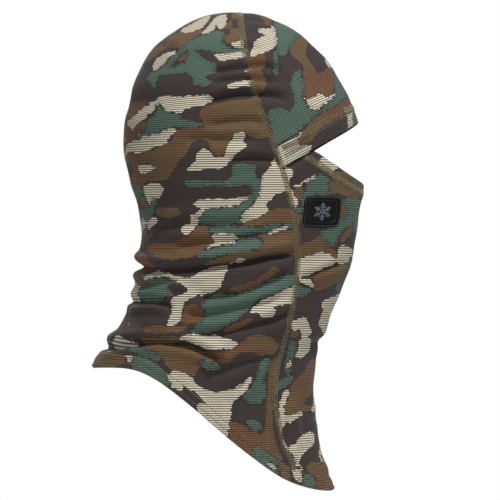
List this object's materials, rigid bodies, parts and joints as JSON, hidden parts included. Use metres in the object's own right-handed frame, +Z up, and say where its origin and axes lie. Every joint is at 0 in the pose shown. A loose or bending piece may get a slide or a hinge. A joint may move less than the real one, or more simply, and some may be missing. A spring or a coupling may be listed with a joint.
{
  "type": "hinged balaclava",
  "caption": "Rib-knit fleece balaclava in woodland camouflage, with a brow band, long neck and face mask that pulls down under the chin.",
  "frame": {"origin": "midway between the wearer's ear canals", "axes": "+Z up to the crown, -Y forward out of the face opening, +X to the wearer's left"},
  "size_m": [0.155, 0.2273, 0.4046],
  "materials": {
    "knit": "matt",
    "olive_thread": "matt",
    "label_satin": "satin",
    "patch_rubber": "matt",
    "patch_relief": "matt",
    "patch_thread": "matt"
  },
  "bodies": {
    "hood": {"right_side_panel": "knit", "left_side_panel": "knit", "forehead_panel": "knit", "neck_front_panel": "knit", "brow_hem": "knit", "bottom_hem_front": "knit", "bottom_hem_left": "knit", "bottom_hem_right": "knit", "centre_back_seam": "olive_thread", "left_front_seam": "olive_thread", "right_front_seam": "olive_thread", "brow_coverstitch": "olive_thread", "bottom_coverstitch": "olive_thread", "temple_bartacks": "olive_thread", "care_label": "label_satin"},
    "mask": {"mask_panel": "knit", "mask_hem": "knit", "mask_coverstitch": "olive_thread", "patch_base": "patch_rubber", "patch_stitches": "patch_thread", "patch_border": "patch_relief", "patch_emblem": "patch_relief"}
  },
  "joints": [
    {"name": "mask_pull_down", "type": "slide", "parent": "hood", "child": "mask", "axis": [0, 0.4, -0.9165], "range_m": [0, 0.088]}
  ]
}
